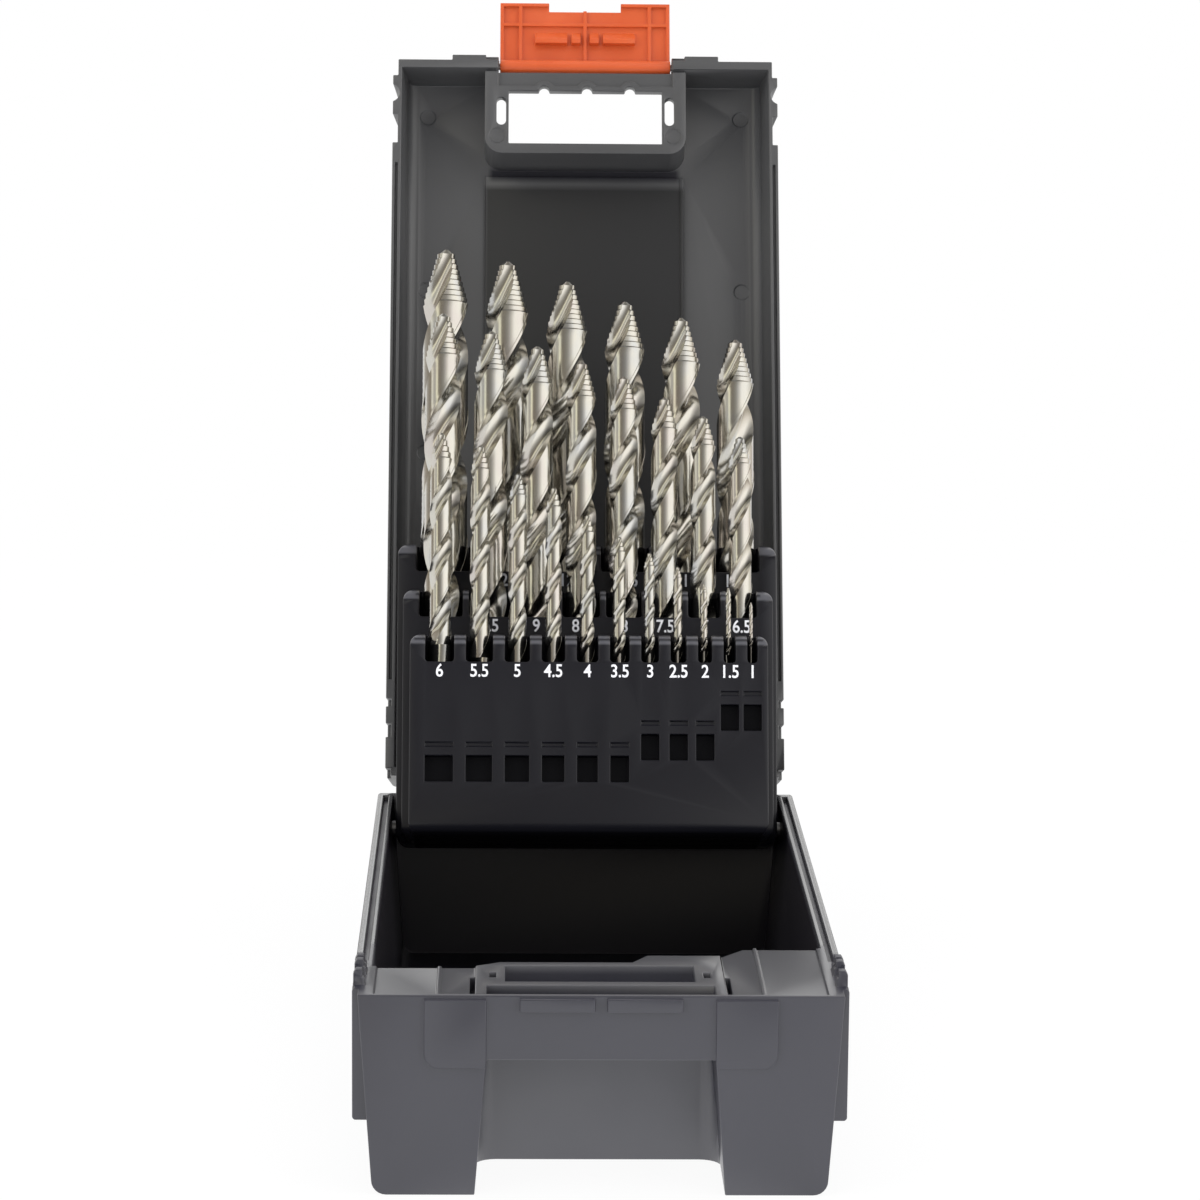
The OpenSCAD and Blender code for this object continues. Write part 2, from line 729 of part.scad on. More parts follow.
// The bead along the field's right edge.
module field_bead() {
    low = lid_top - lid_top_t - field_h - BEAD;
    translate([field_w / 2 - 1.5 * BEAD, front_y + field_from + BEAD, low])
        cube([1.5 * BEAD, body_len - field_from - field_to - 2 * BEAD, BEAD + EPS]);
}

module ejector_marks() {
    for (y = mark_y)
        for (s = SIDES)
            translate([s * (lid_w / 2 - mark_in), front_y + y, lid_top - lid_top_t - OVER])
                cylinder(r = SPOT_R, h = OVER + SPOT_DEEP);
}

// Gaps in the side flanges; the ears stand between them.
module flange_notches() {
    for (s = SIDES) {
        for (n = FLANGE_GAPS)
            flange_notch(s, front_y + n[0], front_y + n[1], lid_h + OVER);
        translate([s * (lid_w / 2 + ROUND_GAP[2]), front_y + ROUND_GAP[0], lid_low - OVER])
            cylinder(r = ROUND_GAP[1], h = lid_h + 2 * OVER);
        for (n = REAR_GAPS)
            flange_notch(s, hinge_y - n[0], hinge_y - n[1], REAR_GAP_H);
    }
}

module flange_notch(s, from, to, high) {
    reach = lid_w / 2 - flange_deep;
    translate([s > 0 ? reach : -reach - wall, from, lid_low - OVER])
        cube([wall, to - from, high + OVER]);
}

module flange_grooves() {
    from = front_y + groove_gap[0];
    to = hinge_y - REAR_GAPS[2][0] - 2 * wall;
    for (s = SIDES)
        translate([s * (lid_w - lid_wall) / 2, (from + to) / 2, lid_low])
            cube([lid_wall / 3, to - from, 2 * groove_deep], center = true);
}

module latch_pocket() {
    translate([-latch_w / 2 - side_play, front_y - OVER, lid_low - OVER])
        cube([latch_w + 2 * side_play, lid_wall + 2 * OVER, latch_up + ledge_drop + lug_d]);
}

// Lugs that carry the latch pins, and the pads outside them.
module latch_lugs() {
    inner = latch_w / 2 + side_play;
    for (s = SIDES)
        mirror([s < 0 ? 1 : 0, 0, 0]) {
            translate([0, latch_y, latch_z])
                rod(lug_d, inner, inner + lug_w);
            along_x(inner, inner + lug_w)
                polygon([
                    [latch_y - barrel_r, latch_z + barrel_r], [front_y + OVER, lid_low + 2 * lug_d],
                    [front_y + OVER, lid_low], [latch_y - barrel_r, latch_z - barrel_r],
                ]);
            translate([inner + lug_w - EPS, front_y - lug_pad[1], lid_low])
                cube([lug_pad[0], lug_pad[1] + EPS, lug_pad[2]]);
        }
}

module latch_pin_bores() {
    for (s = SIDES)
        translate([0, latch_y, latch_z])
            mirror([s < 0 ? 1 : 0, 0, 0])
                rod(latch_pin_d + pin_play, latch_w / 2 - OVER, latch_w / 2 + lug_w);
}

module lid_knuckles() {
    for (s = SIDES)
        translate([s * hinge_x, 0, 0])
            knuckle(hinge_len - 2 * (end_knuckle + side_play), 1);
}

module lid_shell() {
    color(PLASTIC)
        swing_lid()
            difference() {
                union() {
                    difference() {
                        union() {
                            difference() {
                                lid_body();
                                lid_cavity();
                                ejector_marks();
                            }
                            intersection() {
                                lid_ring();
                                lid_body();
                            }
                        }
                        lid_notch();
                    }
                    field(0, lid_top - lid_top_t - field_h, lid_top - lid_top_t / 2);
                    field_bead();
                    latch_lugs();
                    lid_knuckles();
                }
                lid_finger_hole();
                ring_pockets();
                field(LABEL_IN, lid_top - LABEL_DEEP, lid_top + OVER);
                flange_notches();
                flange_grooves();
                latch_pocket();
                latch_pin_bores();
                hinge_bores();
            }
}

module hinge_pin(s) {
    color(STEEL)
        translate([s * hinge_x, hinge_y, hinge_z])
            rod(hinge_pin_d, side_play - hinge_len / 2, hinge_len / 2 - side_play);
}

module hinge_pin_left() {
    hinge_pin(-1);
}

module hinge_pin_right() {
    hinge_pin(1);
}

// ---------- latch, drawn shut, swung up by a quarter turn, then carried by the lid ----------

module swing_latch() {
    swing_lid()
        translate([0, latch_y, latch_z])
            rotate([-90, 0, 0])
                children();
}

// In the latch's own frame the axis is X and the flap hangs along -Z.
module latch() {
    inner = -(latch_in + ledge_t + hook_play);
    plate = inner - latch_rib;
    hook_top = -(latch_up + ledge_drop + ledge_h + hook_play);
    color(ORANGE)
        swing_latch()
            difference() {
                union() {
                    rod(2 * barrel_r, -latch_w / 2, latch_w / 2);
                    translate([-latch_w / 2, plate - latch_t, -latch_len])
                        cube([latch_w, latch_t, latch_len + OVER]);
                    translate([-latch_w / 2, plate - EPS, -OVER])
                        cube([latch_w, -plate, 2 * latch_rib]);
                    latch_ribs(plate, inner);
                    latch_hooks(plate, hook_top);
                }
                translate([-flap_gap[0] / 2, plate - latch_t - OVER, -latch_len - OVER])
                    cube([flap_gap[0], 2 * latch_t + OVER, flap_gap[1] + OVER]);
                for (s = SIDES)
                    mirror([s < 0 ? 1 : 0, 0, 0])
                        rod(latch_pin_d + pin_play, latch_w / 2 - latch_pin_in - pin_end,
                            latch_w / 2 + OVER);
            }
}

module latch_ribs(plate, inner) {
    edge = (latch_w - rib_t) / 2;
    for (x = [-edge, -upright_rib, 0, upright_rib, edge])
        translate([x - rib_t / 2, plate - EPS, -latch_len])
            cube([rib_t, inner - plate + EPS, latch_len]);
    for (z = [-latch_len, -cross_rib])
        translate([-latch_w / 2, plate - EPS, z])
            cube([latch_w, inner - plate + EPS, rib_t]);
}

// Each hook has a flat upper face and a ramp below it.
module latch_hooks(plate, hook_top) {
    reach = -(latch_in + hook_play);
    for (h = hooks)
        for (s = SIDES)
            along_x(s * h[0] - h[1] / 2, s * h[0] + h[1] / 2)
                polygon([
                    [plate - EPS, hook_top], [reach, hook_top],
                    [reach, hook_top - hook_tip], [plate - EPS, hook_top - hook_tip - hook_ramp],
                ]);
}

module latch_pin(s) {
    color(STEEL)
        swing_lid()
            translate([0, latch_y, latch_z])
                mirror([s < 0 ? 1 : 0, 0, 0])
                    rod(latch_pin_d, latch_w / 2 - latch_pin_in, latch_w / 2 + lug_w - pin_end);
}

module latch_pin_left() {
    latch_pin(-1);
}

module latch_pin_right() {
    latch_pin(1);
}

// ---------- rack, drawn upright in its own frame ----------

module place_rack() {
    translate([0, rack_y, rack_z])
        rotate([-rack_lean, 0, 0])
            children();
}

// One tier: a slab with rounded corners and a rounded upper front edge.
module tier(i) {
    w = tier_w[i];
    h = tier_h[i];
    face = face_of(i);
    back = face + tier_t[i];
    intersection() {
        along_y(face, back)
            polygon(concat(
                arc([-w / 2 + tier_r, tier_r], tier_r, 180, 270, TURN),
                arc([w / 2 - tier_r, tier_r], tier_r, 270, 360, TURN),
                arc([w / 2 - tier_r, h - tier_r], tier_r, 0, 90, TURN),
                arc([-w / 2 + tier_r, h - tier_r], tier_r, 90, 180, TURN)
            ));
        along_x(-w / 2 - OVER, w / 2 + OVER)
            polygon(concat(
                [[back, -OVER], [back, h]],
                arc([face + brow_r, h - brow_r], brow_r, 90, 180, TURN),
                arc([face + tier_r, tier_r], tier_r, 180, 270, TURN),
                [[face + tier_r, -OVER]]
            ));
    }
}

// A drill's bore, the slot in front of its top and, in the front row, its window and mark.
module drill_place(r, i) {
    d = ROWS[r][i][0];
    seat = ROWS[r][i][3];
    face = face_of(r);
    top = tier_h[r];
    slot_w = d + slot_play;
    translate([drill_x(r, i), 0, 0]) {
        translate([0, drill_t(r), seat])
            cylinder(d = d + bore_play, h = top - seat + OVER);
        along_y(face - OVER, drill_t(r))
            polygon(concat(
                arc([-slot_w / 2 + SLOT_R, top - slot_h + SLOT_R], SLOT_R, 180, 270, TURN / 2),
                arc([slot_w / 2 - SLOT_R, top - slot_h + SLOT_R], SLOT_R, 270, 360, TURN / 2),
                [[slot_w / 2, top + OVER], [-slot_w / 2, top + OVER]]
            ));
        if (r == 0)
            window(d, face);
    }
}

module window(d, face) {
    low = window_low(d);
    w = max(d + window_play, WINDOW_LEAST_W);
    translate([-w / 2, face - OVER, low])
        cube([w, OVER + window_deep, window_h]);
    translate([-w / 2, face - OVER, low + window_h + MARK_UP])
        cube([w, OVER + MARK_DEEP, MARK_H]);
}

// A whole tier with the places of its drills cut out.
module drill_tier(i) {
    difference() {
        tier(i);
        for (k = [0:len(ROWS[i]) - 1])
            drill_place(i, k);
    }
}

// The rear tier, which also carries the rack's pivot pins.
module rack() {
    color(PLASTIC)
        place_rack()
            difference() {
                drill_tier(2);
                for (s = SIDES)
                    translate([0, pivot_t, pivot_s])
                        mirror([s < 0 ? 1 : 0, 0, 0])
                            rod(rack_pin_d + pin_play, tier_w[2] / 2 - rack_pin_in - pin_end,
                                tier_w[2] / 2 + OVER);
            }
}

module rack_tier_middle() {
    color(PLASTIC)
        place_rack()
            drill_tier(1);
}

module rack_tier_front() {
    color(PLASTIC)
        place_rack()
            drill_tier(0);
}

module rack_pin(s) {
    color(STEEL)
        translate([0, pivot_y, pivot_z])
            mirror([s < 0 ? 1 : 0, 0, 0])
                rod(rack_pin_d, tier_w[2] / 2 - rack_pin_in, skirt_w / 2 - pin_skin - pin_end);
}

module rack_pin_left() {
    rack_pin(-1);
}

module rack_pin_right() {
    rack_pin(1);
}

// ---------- drills ----------

// One ring of a drill: blend 0 is round and 1 is fully fluted, and no point goes beyond outer.
function drill_ring(shape, r, outer, turn, z, blend, thin) = [
    for (half = [0, 180])
        for (p = shape)
            let (k = min(outer, r * (1 + (p[1] - 1) * blend) * (1 - thin)))
                [k * cos(p[0] + half + turn), k * sin(p[0] + half + turn), z]
];

function ring_faces(n, count) = concat(
    [[for (k = [0:n - 1]) k]],
    [
        for (j = [0:count - 2])
            for (k = [0:n - 1])
                [j * n + k, (j + 1) * n + (k + 1) % n, j * n + (k + 1) % n]
    ],
    [
        for (j = [0:count - 2])
            for (k = [0:n - 1])
                [j * n + k, (j + 1) * n + k, (j + 1) * n + (k + 1) % n]
    ],
    [[for (k = [n - 1:-1:0]) (count - 1) * n + k]]
);

// Rings as [height, outer radius, blend, thinning]: the flutes run out of the shank, and the tip is
// turned down in steps that end in a short flat point.
function drill_rings(d, total, flutes, slices) =
    let (
        r = d * land_share / 2,
        low = total - flutes,
        tip = total - d * (tip_len + POINT_LEN),
        steps = max(LEAST_STEPS, round(d * tip_len / tip_step)),
        rise = d * tip_len / steps
    )
    concat(
        [for (i = [0:slices]) let (h = low + (tip - low) * i / slices)
            [h, r, min(1, (h - low) / (RUN_OUT * d)), 0]],
        [for (k = [0:steps - 1])
            let (outer = r * (1 - (1 - TIP_LEAST) * (k + 1) / steps), thin = WEB_THIN / steps)
                each [
                    [tip + (k + SHOULDER) * rise, outer, 1, thin * (k + SHOULDER)],
                    [tip + (k + 1) * rise, outer, 1, thin * (k + 1)],
                ]],
        [[total, r * TIP_LEAST * POINT_FLAT, 1, WEB_THIN]]
    );

module drill(r, i) {
    d = ROWS[r][i][0];
    total = ROWS[r][i][1];
    flutes = ROWS[r][i][2];
    seat = ROWS[r][i][3];
    shape = d >= FINE_FROM ? FLUTE_FINE : FLUTE_COARSE;
    per_turn = d >= FINE_FROM ? SLICES_FINE : SLICES_COARSE;
    pitch = flute_pitch * d;
    tip = total - d * (tip_len + POINT_LEN);
    slices = ceil((tip - total + flutes) / pitch * per_turn);
    rings = drill_rings(d, total, flutes, slices);
    color(STEEL)
        place_rack()
            translate([drill_x(r, i), drill_t(r), seat]) {
                cylinder(d = d, h = total - flutes + d * RUN_IN);
                polyhedron(
                    points = [for (g = rings) each drill_ring(
                        shape, d * land_share / 2, g[1], LAND_AT + 360 * (g[0] - tip) / pitch,
                        g[0], g[2], g[3])],
                    faces = ring_faces(2 * len(shape), len(rings))
                );
            }
}

module drill_1_0() drill(0, 10);
module drill_1_5() drill(0, 9);
module drill_2_0() drill(0, 8);
module drill_2_5() drill(0, 7);
module drill_3_0() drill(0, 6);
module drill_3_5() drill(0, 5);
module drill_4_0() drill(0, 4);
module drill_4_5() drill(0, 3);
module drill_5_0() drill(0, 2);
module drill_5_5() drill(0, 1);
module drill_6_0() drill(0, 0);
module drill_6_5() drill(1, 7);
module drill_7_0() drill(1, 6);
module drill_7_5() drill(1, 5);
module drill_8_0() drill(1, 4);
module drill_8_5() drill(1, 3);
module drill_9_0() drill(1, 2);
module drill_9_5() drill(1, 1);
module drill_10_0() drill(1, 0);
module drill_10_5() drill(2, 5);
module drill_11_0() drill(2, 4);
module drill_11_5() drill(2, 3);
module drill_12_0() drill(2, 2);
module drill_12_5() drill(2, 1);
module drill_13_0() drill(2, 0);

base_shell();
lid_shell();
hinge_pin_left();
hinge_pin_right();
latch();
latch_pin_left();
latch_pin_right();
rack();
rack_tier_middle();
rack_tier_front();
rack_pin_left();
rack_pin_right();
drill_1_0();
drill_1_5();
drill_2_0();
drill_2_5();
drill_3_0();
drill_3_5();
drill_4_0();
drill_4_5();
drill_5_0();
drill_5_5();
drill_6_0();
drill_6_5();
drill_7_0();
drill_7_5();
drill_8_0();
drill_8_5();
drill_9_0();
drill_9_5();
drill_10_0();
drill_10_5();
drill_11_0();
drill_11_5();
drill_12_0();
drill_12_5();
drill_13_0();
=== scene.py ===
"""Looks of an open drill bit case: lid leaning back, latch flap up, raised rack with fluted drills."""

import json
import math

import bmesh
import bpy
import numpy as np
from mathutils import Matrix, Vector


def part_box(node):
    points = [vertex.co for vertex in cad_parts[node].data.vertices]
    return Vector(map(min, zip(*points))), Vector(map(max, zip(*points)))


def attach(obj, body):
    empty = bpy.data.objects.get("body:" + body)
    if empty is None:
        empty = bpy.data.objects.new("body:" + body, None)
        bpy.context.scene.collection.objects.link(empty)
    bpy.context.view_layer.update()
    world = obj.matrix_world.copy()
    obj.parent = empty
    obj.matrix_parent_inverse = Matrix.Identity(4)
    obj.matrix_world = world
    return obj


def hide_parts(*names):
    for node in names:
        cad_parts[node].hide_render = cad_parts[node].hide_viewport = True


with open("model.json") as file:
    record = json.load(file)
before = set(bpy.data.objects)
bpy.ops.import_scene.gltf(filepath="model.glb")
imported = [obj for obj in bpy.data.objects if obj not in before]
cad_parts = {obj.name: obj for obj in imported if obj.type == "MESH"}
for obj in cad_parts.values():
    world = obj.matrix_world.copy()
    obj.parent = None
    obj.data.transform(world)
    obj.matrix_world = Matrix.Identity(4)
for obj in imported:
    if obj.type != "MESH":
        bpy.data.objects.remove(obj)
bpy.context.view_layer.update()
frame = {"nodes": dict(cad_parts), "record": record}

MM = 0.001
NODES = frame["nodes"]
BODY_OF = {n: b for b, names in frame["record"]["behaviour"]["bodies"].items() for n in names}

# Camera, fitted to the photograph: place, aim and lens for a square image.
CAMERA_AT = Vector((-22.67, -1051.37, 306.44)) * MM
CAMERA_DOWN = math.radians(10.106)
CAMERA_RIGHT = math.radians(1.299)
CAMERA_ROLL = math.radians(-0.522)
LENS_MM = 130.16
SENSOR_MM = 36.0
NEAREST, FARTHEST = 0.05, 20

# What a mirror sees around the object: an angle in degrees, from straight in front of the object
# towards its right, and the tone of the studio's wall there.
WALLS = (
    (-180, (0.56, 0.56, 0.56)), (-150, (0.36, 0.35, 0.33)), (-104, (0.20, 0.18, 0.155)),
    (-88, (0.15, 0.13, 0.105)), (-79, (0.62, 0.61, 0.55)), (-66, (0.30, 0.29, 0.27)),
    (-54, (0.27, 0.265, 0.25)), (-43, (0.72, 0.70, 0.56)), (-32, (0.13, 0.115, 0.095)),
    (-10, (0.15, 0.14, 0.125)), (6, (0.20, 0.195, 0.185)), (24, (0.40, 0.39, 0.375)),
    (42, (0.68, 0.67, 0.65)), (75, (0.72, 0.71, 0.69)), (104, (0.56, 0.54, 0.50)),
    (128, (0.26, 0.235, 0.20)), (150, (0.40, 0.39, 0.37)), (180, (0.56, 0.56, 0.56)),
)
WALL_STRENGTH = 2.0
# The sine of the elevation where the walls start to fade, and where they end in a dim ceiling.
CEILING = (0.70, 0.92)
CEILING_SHARE = 0.25
AMBIENT = (0.5, 0.5, 0.52)

# The floor in metres: its side, where mirrors see it brighter, and where its shadow fades to white.
FLOOR_SIDE = 8.0
BRIGHT_FLOOR = (0.102, 0.116)
BRIGHT_LIFT = 0.7
WHITE_FLOOR = (0.3, 0.9)
NEAR_WHITE = 0.93

# Soft lights: place, aim, size, watts and tint.
LIGHTS = {
    "left": ((-2.0, -1.0, 1.0), (0, 0, 0.1), (2.2, 2.2), 36, (1, 1, 1)),
    "right": ((2.0, -1.0, 0.9), (0, 0, 0.1), (2.2, 2.2), 28, (1, 1, 1)),
    "top": ((0.1, 0.1, 1.6), (0, 0.05, 0.1), (2.0, 2.0), 22, (1, 1, 1)),
    "low": ((-0.2, -2.6, 0.22), (0, -0.1, 0.03), (2.4, 0.4), 14, (0.82, 0.86, 1.0)),
}

# The rack's own frame: x across, t deep behind its front face, s up its front face.
RACK_LEAN = math.radians(18)
RACK_AT = Vector((0, 54, 46.8)) * MM
TIER_FACE = (0.0, 14.0, 28.0)
TIER_H = (53.5, 67.3, 81.6)
# Distance of the drills' axes behind each tier's face.
ROW_IN = (7.0, 7.0, 7.5)
# Below each tier's top: how far down its numerals are centred.
LABEL_DOWN = 10.3
LABEL_HIGH = 3.35

# Drills, front row first: diameter, total length, flute length, height of the seat.
ROWS = (
    (
        (6, 93, 57, 14.8), (5.5, 93, 57, 11.4), (5, 86, 52, 10.9), (4.5, 80, 47, 13.2),
        (4, 75, 43, 10.9), (3.5, 70, 39, 10.1), (3, 61, 33, 14.8), (2.5, 57, 30, 15.1),
        (2, 49, 24, 18.6), (1.5, 40, 18, 26.6), (1, 34, 12, 28.7),
    ),
    (
        (10, 133, 87, 10), (9.5, 125, 81, 13.2), (9, 125, 81, 9.1), (8.5, 117, 75, 13),
        (8, 117, 75, 9), (7.5, 109, 69, 11.3), (7, 109, 69, 6.2), (6.5, 101, 63, 8.7),
    ),
    (
        (13, 151, 101, 12.8), (12.5, 151, 101, 9.6), (12, 151, 101, 4.1), (11.5, 142, 94, 7.6),
        (11, 142, 94, 3.2), (10.5, 133, 87, 6.2),
    ),
)
LAND_SHARE = 0.985
# Half the angle of a land, and where the middle of one land points at the foot of the tip.
LAND_HALF = 45.0
LAND_AT = math.radians(-60)
# The flutes' helix pitch, the stepped tip and its point, as multiples of the diameter.
PITCH = 5.4
TIP_LEN = 1.08
POINT_LEN = 0.1
# The height of a step in mm, and how much of it the shoulder below it takes.
TIP_STEP = 1.5
LEAST_STEPS = 3
SHOULDER = 0.24
# Radius of the last step and of the flat point, and the web's thinning, all as shares.
TIP_LEAST = 0.38
POINT_FLAT = 0.3
WEB_THIN = 0.35
RUN_OUT = 0.8
RINGS_PER_TURN = 40
# The land's section: degrees of the raised margin and of the rise to it, and the relief behind it.
MARGIN = 8.0
MARGIN_RISE = 0.6
RELIEF = 0.972
LAND_POINTS = 9
# The flute's curve: its two handles as a share of the radius and an angle in degrees.
FLUTE_OUT = (0.40, LAND_HALF + 15)
FLUTE_IN = (0.34, 112)
FLUTE_POINTS = 26
# The shank's chamfer as a share of the diameter, and the step from shank to land in mm.
CHAMFER = 0.05
LAND_DROP = 0.02
# The least angle in degrees that shades as an edge.
SHARP_EDGE = 30

# Moulded edges: roundings in mm, their steps, the least angle in degrees that is rounded, and how
# near two corners are the same one.
ROUNDING = 0.25
RACK_ROUNDING = 0.3
LATCH_ROUNDING = 0.15
ROUND_STEPS = 2
LEAST_EDGE = 28
WELD = 0.002

# Numerals: capital height as a share of the font's size, width against the font's, the strokes'
# growth and thickness in mm, and how far they stand out of the face.
CAP_SHARE = 0.7
NARROW = 0.86
BOLD = 0.07
INK_THICK = 0.02
INK_AHEAD = 0.02


# ---------- camera, light and stage ----------


def add_camera():
    ahead = Vector((
        math.sin(CAMERA_RIGHT) * math.cos(CAMERA_DOWN),
        math.cos(CAMERA_RIGHT) * math.cos(CAMERA_DOWN),
        -math.sin(CAMERA_DOWN),
    ))
    level = Vector((math.cos(CAMERA_RIGHT), -math.sin(CAMERA_RIGHT), 0))
    down = ahead.cross(level)
    right = math.cos(CAMERA_ROLL) * level + math.sin(CAMERA_ROLL) * down
    up = math.sin(CAMERA_ROLL) * level - math.cos(CAMERA_ROLL) * down
    data = bpy.data.cameras.new("camera")
    data.lens = LENS_MM
    data.sensor_width = SENSOR_MM
    data.clip_start = NEAREST
    data.clip_end = FARTHEST
    camera = bpy.data.objects.new("camera", data)
    turn = Matrix((right, up, -ahead)).transposed().to_4x4()
    camera.matrix_world = Matrix.Translation(CAMERA_AT) @ turn
    bpy.context.scene.collection.objects.link(camera)
    bpy.context.scene.camera = camera


def add_light(name, at, aim, size, watts, tint):
    data = bpy.data.lights.new(name, "AREA")
    data.shape = "RECTANGLE"
    data.size, data.size_y = size
    data.energy = watts
    data.color = tint
    light = bpy.data.objects.new(name, data)
    light.location = at
    light.rotation_euler = (Vector(aim) - Vector(at)).to_track_quat("-Z", "Y").to_euler()
    light.visible_glossy = False
    bpy.context.scene.collection.objects.link(light)


def seen_directly(tree):
    """A factor that is 1 for the camera, in a mirror and through glass, and 0 for plain light."""
    path = tree.nodes.new("ShaderNodeLightPath")
    total = path.outputs["Is Camera Ray"]
    for name in ("Is Glossy Ray", "Is Transmission Ray"):
        add = tree.nodes.new("ShaderNodeMath")
        add.operation = "MAXIMUM"
        tree.links.new(total, add.inputs[0])
        tree.links.new(path.outputs[name], add.inputs[1])
        total = add.outputs[0]
    return total


def add_world():
    """White for the camera, one tone for plain light, and the studio's walls for mirrors."""
    world = bpy.data.worlds.new("studio")
    bpy.context.scene.world = world
    world.use_nodes = True
    tree = world.node_tree
    tree.nodes.clear()
    coords = tree.nodes.new("ShaderNodeTexCoord")
    split = tree.nodes.new("ShaderNodeSeparateXYZ")
    tree.links.new(coords.outputs["Generated"], split.inputs[0])
    back = tree.nodes.new("ShaderNodeMath")
    back.operation = "MULTIPLY"
    back.inputs[1].default_value = -1
    tree.links.new(split.outputs["Y"], back.inputs[0])
    turn = tree.nodes.new("ShaderNodeMath")
    turn.operation = "ARCTAN2"
    tree.links.new(split.outputs["X"], turn.inputs[0])
    tree.links.new(back.outputs[0], turn.inputs[1])
    span = tree.nodes.new("ShaderNodeMapRange")
    span.inputs["From Min"].default_value = -math.pi
    span.inputs["From Max"].default_value = math.pi
    tree.links.new(turn.outputs[0], span.inputs["Value"])
    ramp = tree.nodes.new("ShaderNodeValToRGB")
    tree.links.new(span.outputs["Result"], ramp.inputs["Fac"])
    elements = ramp.color_ramp.elements
    while len(elements) < len(WALLS):
        elements.new(0.5)
    for element, (degrees, tone) in zip(elements, WALLS):
        element.position = degrees / 360 + 0.5
        element.color = (*tone, 1)
    dim = tree.nodes.new("ShaderNodeMapRange")
    dim.inputs["From Min"].default_value = CEILING[0]
    dim.inputs["From Max"].default_value = CEILING[1]
    dim.inputs["To Min"].default_value = WALL_STRENGTH
    dim.inputs["To Max"].default_value = WALL_STRENGTH * CEILING_SHARE
    tree.links.new(split.outputs["Z"], dim.inputs["Value"])
    shown = tree.nodes.new("ShaderNodeBackground")
    tree.links.new(ramp.outputs["Color"], shown.inputs["Color"])
    tree.links.new(dim.outputs["Result"], shown.inputs["Strength"])
    soft = tree.nodes.new("ShaderNodeBackground")
    soft.inputs["Color"].default_value = (*AMBIENT, 1)
    mix = tree.nodes.new("ShaderNodeMixShader")
    tree.links.new(seen_directly(tree), mix.inputs["Fac"])
    tree.links.new(soft.outputs[0], mix.inputs[1])
    tree.links.new(shown.outputs[0], mix.inputs[2])
    camera = tree.nodes.new("ShaderNodeMixShader")
    white = tree.nodes.new("ShaderNodeBackground")
    path = tree.nodes.new("ShaderNodeLightPath")
    white.inputs["Color"].default_value = (1, 1, 1, 1)
    tree.links.new(path.outputs["Is Camera Ray"], camera.inputs["Fac"])
    tree.links.new(mix.outputs[0], camera.inputs[1])
    tree.links.new(white.outputs[0], camera.inputs[2])
    out = tree.nodes.new("ShaderNodeOutputWorld")
    tree.links.new(camera.outputs[0], out.inputs["Surface"])


def add_floor():
    bm = bmesh.new()
    bmesh.ops.create_grid(bm, x_segments=8, y_segments=8, size=FLOOR_SIDE / 2)
    mesh = bpy.data.meshes.new("floor")
    bm.to_mesh(mesh)
    bm.free()
    floor = bpy.data.objects.new("floor", mesh)
    bpy.context.scene.collection.objects.link(floor)
    material = bpy.data.materials.new("pale_floor")
    material.use_nodes = True
    tree = material.node_tree
    plain = tree.nodes["Principled BSDF"]
    plain.inputs["Base Color"].default_value = (0.9, 0.9, 0.9, 1)
    plain.inputs["Roughness"].default_value = 0.9
    plain.inputs["Specular IOR Level"].default_value = 0.1
    glow = tree.nodes.new("ShaderNodeEmission")
    coords = tree.nodes.new("ShaderNodeTexCoord")
    away = tree.nodes.new("ShaderNodeVectorMath")
    away.operation = "LENGTH"
    tree.links.new(coords.outputs["Object"], away.inputs[0])
    far = tree.nodes.new("ShaderNodeMapRange")
    far.inputs["From Min"].default_value = WHITE_FLOOR[0]
    far.inputs["From Max"].default_value = WHITE_FLOOR[1]
    far.inputs["To Min"].default_value = NEAR_WHITE
    tree.links.new(away.outputs["Value"], far.inputs["Value"])
    # Mirrors see the floor close to the object brighter, so that edges which face down stand out.
    near = tree.nodes.new("ShaderNodeMapRange")
    near.inputs["From Min"].default_value = BRIGHT_FLOOR[0]
    near.inputs["From Max"].default_value = BRIGHT_FLOOR[1]
    near.inputs["To Min"].default_value = BRIGHT_LIFT
    near.inputs["To Max"].default_value = 0.0
    tree.links.new(away.outputs["Value"], near.inputs["Value"])
    path = tree.nodes.new("ShaderNodeLightPath")
    lift = tree.nodes.new("ShaderNodeMath")
    lift.operation = "MULTIPLY_ADD"
    lift.inputs[2].default_value = 1.0
    tree.links.new(path.outputs["Is Glossy Ray"], lift.inputs[0])
    tree.links.new(near.outputs["Result"], lift.inputs[1])
    tree.links.new(lift.outputs[0], glow.inputs["Strength"])
    share = tree.nodes.new("ShaderNodeMath")
    share.operation = "MULTIPLY"
    tree.links.new(seen_directly(tree), share.inputs[0])
    tree.links.new(far.outputs["Result"], share.inputs[1])
    mix = tree.nodes.new("ShaderNodeMixShader")
    tree.links.new(share.outputs[0], mix.inputs["Fac"])
    tree.links.new(plain.outputs[0], mix.inputs[1])
    tree.links.new(glow.outputs[0], mix.inputs[2])
    tree.links.new(mix.outputs[0], tree.nodes["Material Output"].inputs["Surface"])
    mesh.materials.append(material)


# ---------- materials ----------


